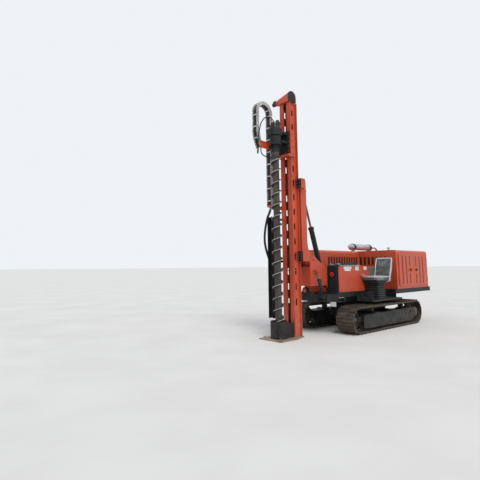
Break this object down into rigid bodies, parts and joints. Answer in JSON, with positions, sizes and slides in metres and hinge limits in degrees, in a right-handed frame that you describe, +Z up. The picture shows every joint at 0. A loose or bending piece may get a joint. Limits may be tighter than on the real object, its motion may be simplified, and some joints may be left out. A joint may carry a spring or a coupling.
{
  "type": "pile driver rig",
  "caption": "Crawler pile driver rig with a tall orange mast, long auger, rotary head, hose chain, side hood, engine cover and an open driver's seat",
  "frame": {"origin": "Under the middle of the rig's overall box, on the ground that the tracks and the mast's foot plate stand on", "axes": "+X forward from the engine to the mast, +Y to the machine's left, +Z up"},
  "size_m": [6.4847, 1.91, 5.88],
  "materials": {
    "orange_paint": "Orange-red enamel, dusty and slightly faded",
    "frame_paint": "Dark charcoal-grey paint, dusty",
    "track_steel": "Dry mud-stained track steel with worn grousers",
    "roller_steel": "Dusty dark rollers, idlers and sprockets",
    "tank_paint": "Greenish-grey tank paint",
    "engine_iron": "Dark grey engine block",
    "muffler_steel": "Silver-grey heat-stained muffler steel",
    "black_plastic": "Black control levers and plate",
    "black_rubber": "Black rubber bellows",
    "seat_vinyl": "Dark grey seat covering under clear film",
    "white_sign": "Blank white plate",
    "rod_steel": "Oiled brownish cylinder rod",
    "chain_steel": "Greased dark roller chain",
    "motor_iron": "Dark hydraulic motors",
    "worn_steel": "Bare brownish steel plate",
    "chain_zinc": "Grey zinc-plated energy-chain links",
    "hose_rubber": "Black hydraulic hose",
    "auger_steel": "Dark grey-brown auger steel, light on the worn flight edge"
  },
  "bodies": {
    "chassis": {"track_left": "track_steel", "track_right": "track_steel", "track_frame_left": "frame_paint", "track_frame_right": "frame_paint", "running_gear_left": "roller_steel", "running_gear_right": "roller_steel", "cross_beam": "frame_paint", "deck": "frame_paint", "front_bracket": "frame_paint", "driver_platform": "frame_paint", "side_hood": "orange_paint", "engine_cover": "orange_paint", "engine_block": "engine_iron", "muffler": "muffler_steel", "console": "orange_paint", "console_front": "frame_paint", "console_tank": "tank_paint", "control_levers": "black_plastic", "seat_pedestal": "black_rubber", "seat_cushion": "seat_vinyl", "seat_back": "seat_vinyl", "sign_plate": "white_sign"},
    "swing": {"swing_frame": "orange_paint"},
    "carrier": {"mast_carrier": "orange_paint", "clamp_jaws": "frame_paint"},
    "tilt_cylinder": {"tilt_barrel": "frame_paint"},
    "tilt_piston": {"tilt_rod": "rod_steel"},
    "roll_cylinder_left": {"roll_barrel_left": "frame_paint"},
    "roll_piston_left": {"roll_rod_left": "rod_steel"},
    "roll_cylinder_right": {"roll_barrel_right": "frame_paint"},
    "roll_piston_right": {"roll_rod_right": "rod_steel"},
    "mast": {"mast_beam": "orange_paint", "feed_chain": "chain_steel", "mast_cap": "orange_paint", "cap_plates": "frame_paint", "chain_motor": "motor_iron", "foot_plate": "worn_steel", "guide_casing": "frame_paint", "hose_chain": "chain_zinc", "chain_hoses": "hose_rubber", "chain_bracket": "orange_paint", "chain_tray": "frame_paint", "mast_hose_outer": "hose_rubber", "mast_hose_inner": "hose_rubber"},
    "head": {"head_carriage": "orange_paint", "head_plate": "frame_paint", "rotary_head": "frame_paint", "head_motors": "motor_iron", "chain_arm": "orange_paint", "head_hose_upper": "hose_rubber", "head_hose_lower": "hose_rubber"},
    "auger": {"auger_stem": "auger_steel", "auger_flight": "auger_steel"},
    "door_left_front": {"door_left_front": "orange_paint"},
    "door_left_rear": {"door_left_rear": "orange_paint"},
    "door_right_front": {"door_right_front": "orange_paint"},
    "door_right_rear": {"door_right_rear": "orange_paint"}
  },
  "joints": [
    {"name": "roll", "type": "hinge", "parent": "chassis", "child": "swing", "pos_m": [1.595, 0, 1.03], "axis": [1, 0, 0], "range_deg": [-4, 4]},
    {"name": "mast_tilt", "type": "hinge", "parent": "swing", "child": "carrier", "pos_m": [1.595, 0, 1.25], "axis": [0, 1, 0], "range_deg": [-84, 5]},
    {"name": "tilt_cylinder_pivot", "type": "hinge", "parent": "swing", "child": "tilt_cylinder", "pos_m": [1.085, 0, 1.03], "axis": [0, 1, 0], "range_deg": [-88, 8]},
    {"name": "tilt_cylinder_stroke", "type": "slide", "parent": "tilt_cylinder", "child": "tilt_piston", "axis": [0.3139, 0, 0.9495], "range_m": [-0.8, 0.08]},
    {"name": "roll_cylinder_left_pivot", "type": "hinge", "parent": "chassis", "child": "roll_cylinder_left", "pos_m": [1.785, 0.425, 1.03], "axis": [1, 0, 0], "range_deg": [-6, 6]},
    {"name": "roll_cylinder_left_stroke", "type": "slide", "parent": "roll_cylinder_left", "child": "roll_piston_left", "axis": [0, -0.2873, 0.9578], "range_m": [-0.06, 0.06]},
    {"name": "roll_cylinder_right_pivot", "type": "hinge", "parent": "chassis", "child": "roll_cylinder_right", "pos_m": [1.785, -0.425, 1.03], "axis": [1, 0, 0], "range_deg": [-6, 6]},
    {"name": "roll_cylinder_right_stroke", "type": "slide", "parent": "roll_cylinder_right", "child": "roll_piston_right", "axis": [0, 0.2873, 0.9578], "range_m": [-0.06, 0.06]},
    {"name": "mast_slide", "type": "slide", "parent": "carrier", "child": "mast", "axis": [0, 0, 1], "range_m": [0, 0.6], "deforming": ["mast_hose_outer", "mast_hose_inner"]},
    {"name": "head_slide", "type": "slide", "parent": "mast", "child": "head", "axis": [0, 0, 1], "range_m": [-3.75, 0.2], "deforming": ["hose_chain", "chain_hoses"]},
    {"name": "auger_spin", "type": "hinge", "parent": "head", "child": "auger", "pos_m": [2.825, 0, 2.15], "axis": [0, 0, 1], "continuous": true},
    {"name": "door_left_front_hinge", "type": "hinge", "parent": "chassis", "child": "door_left_front", "pos_m": [-1.275, 0.8003, 1.5], "axis": [0, 0, -1], "range_deg": [0, 110]},
    {"name": "door_left_rear_hinge", "type": "hinge", "parent": "chassis", "child": "door_left_rear", "pos_m": [-3.005, 0.8003, 1.5], "axis": [0, 0, 1], "range_deg": [0, 110]},
    {"name": "door_right_front_hinge", "type": "hinge", "parent": "chassis", "child": "door_right_front", "pos_m": [-1.275, -0.8003, 1.5], "axis": [0, 0, 1], "range_deg": [0, 110]},
    {"name": "door_right_rear_hinge", "type": "hinge", "parent": "chassis", "child": "door_right_rear", "pos_m": [-3.005, -0.8003, 1.5], "axis": [0, 0, -1], "range_deg": [0, 110]}
  ],
  "couplings": [
    {"joint": "tilt_cylinder_pivot", "follows": "mast_tilt", "ratio": 1.0018},
    {"joint": "tilt_cylinder_stroke", "follows": "mast_tilt", "m_per_rad": 0.507},
    {"joint": "roll_cylinder_left_pivot", "follows": "roll", "ratio": 0.741},
    {"joint": "roll_cylinder_left_stroke", "follows": "roll", "m_per_rad": 0.4069},
    {"joint": "roll_cylinder_right_pivot", "follows": "roll", "ratio": 0.741},
    {"joint": "roll_cylinder_right_stroke", "follows": "roll", "m_per_rad": -0.4069}
  ]
}
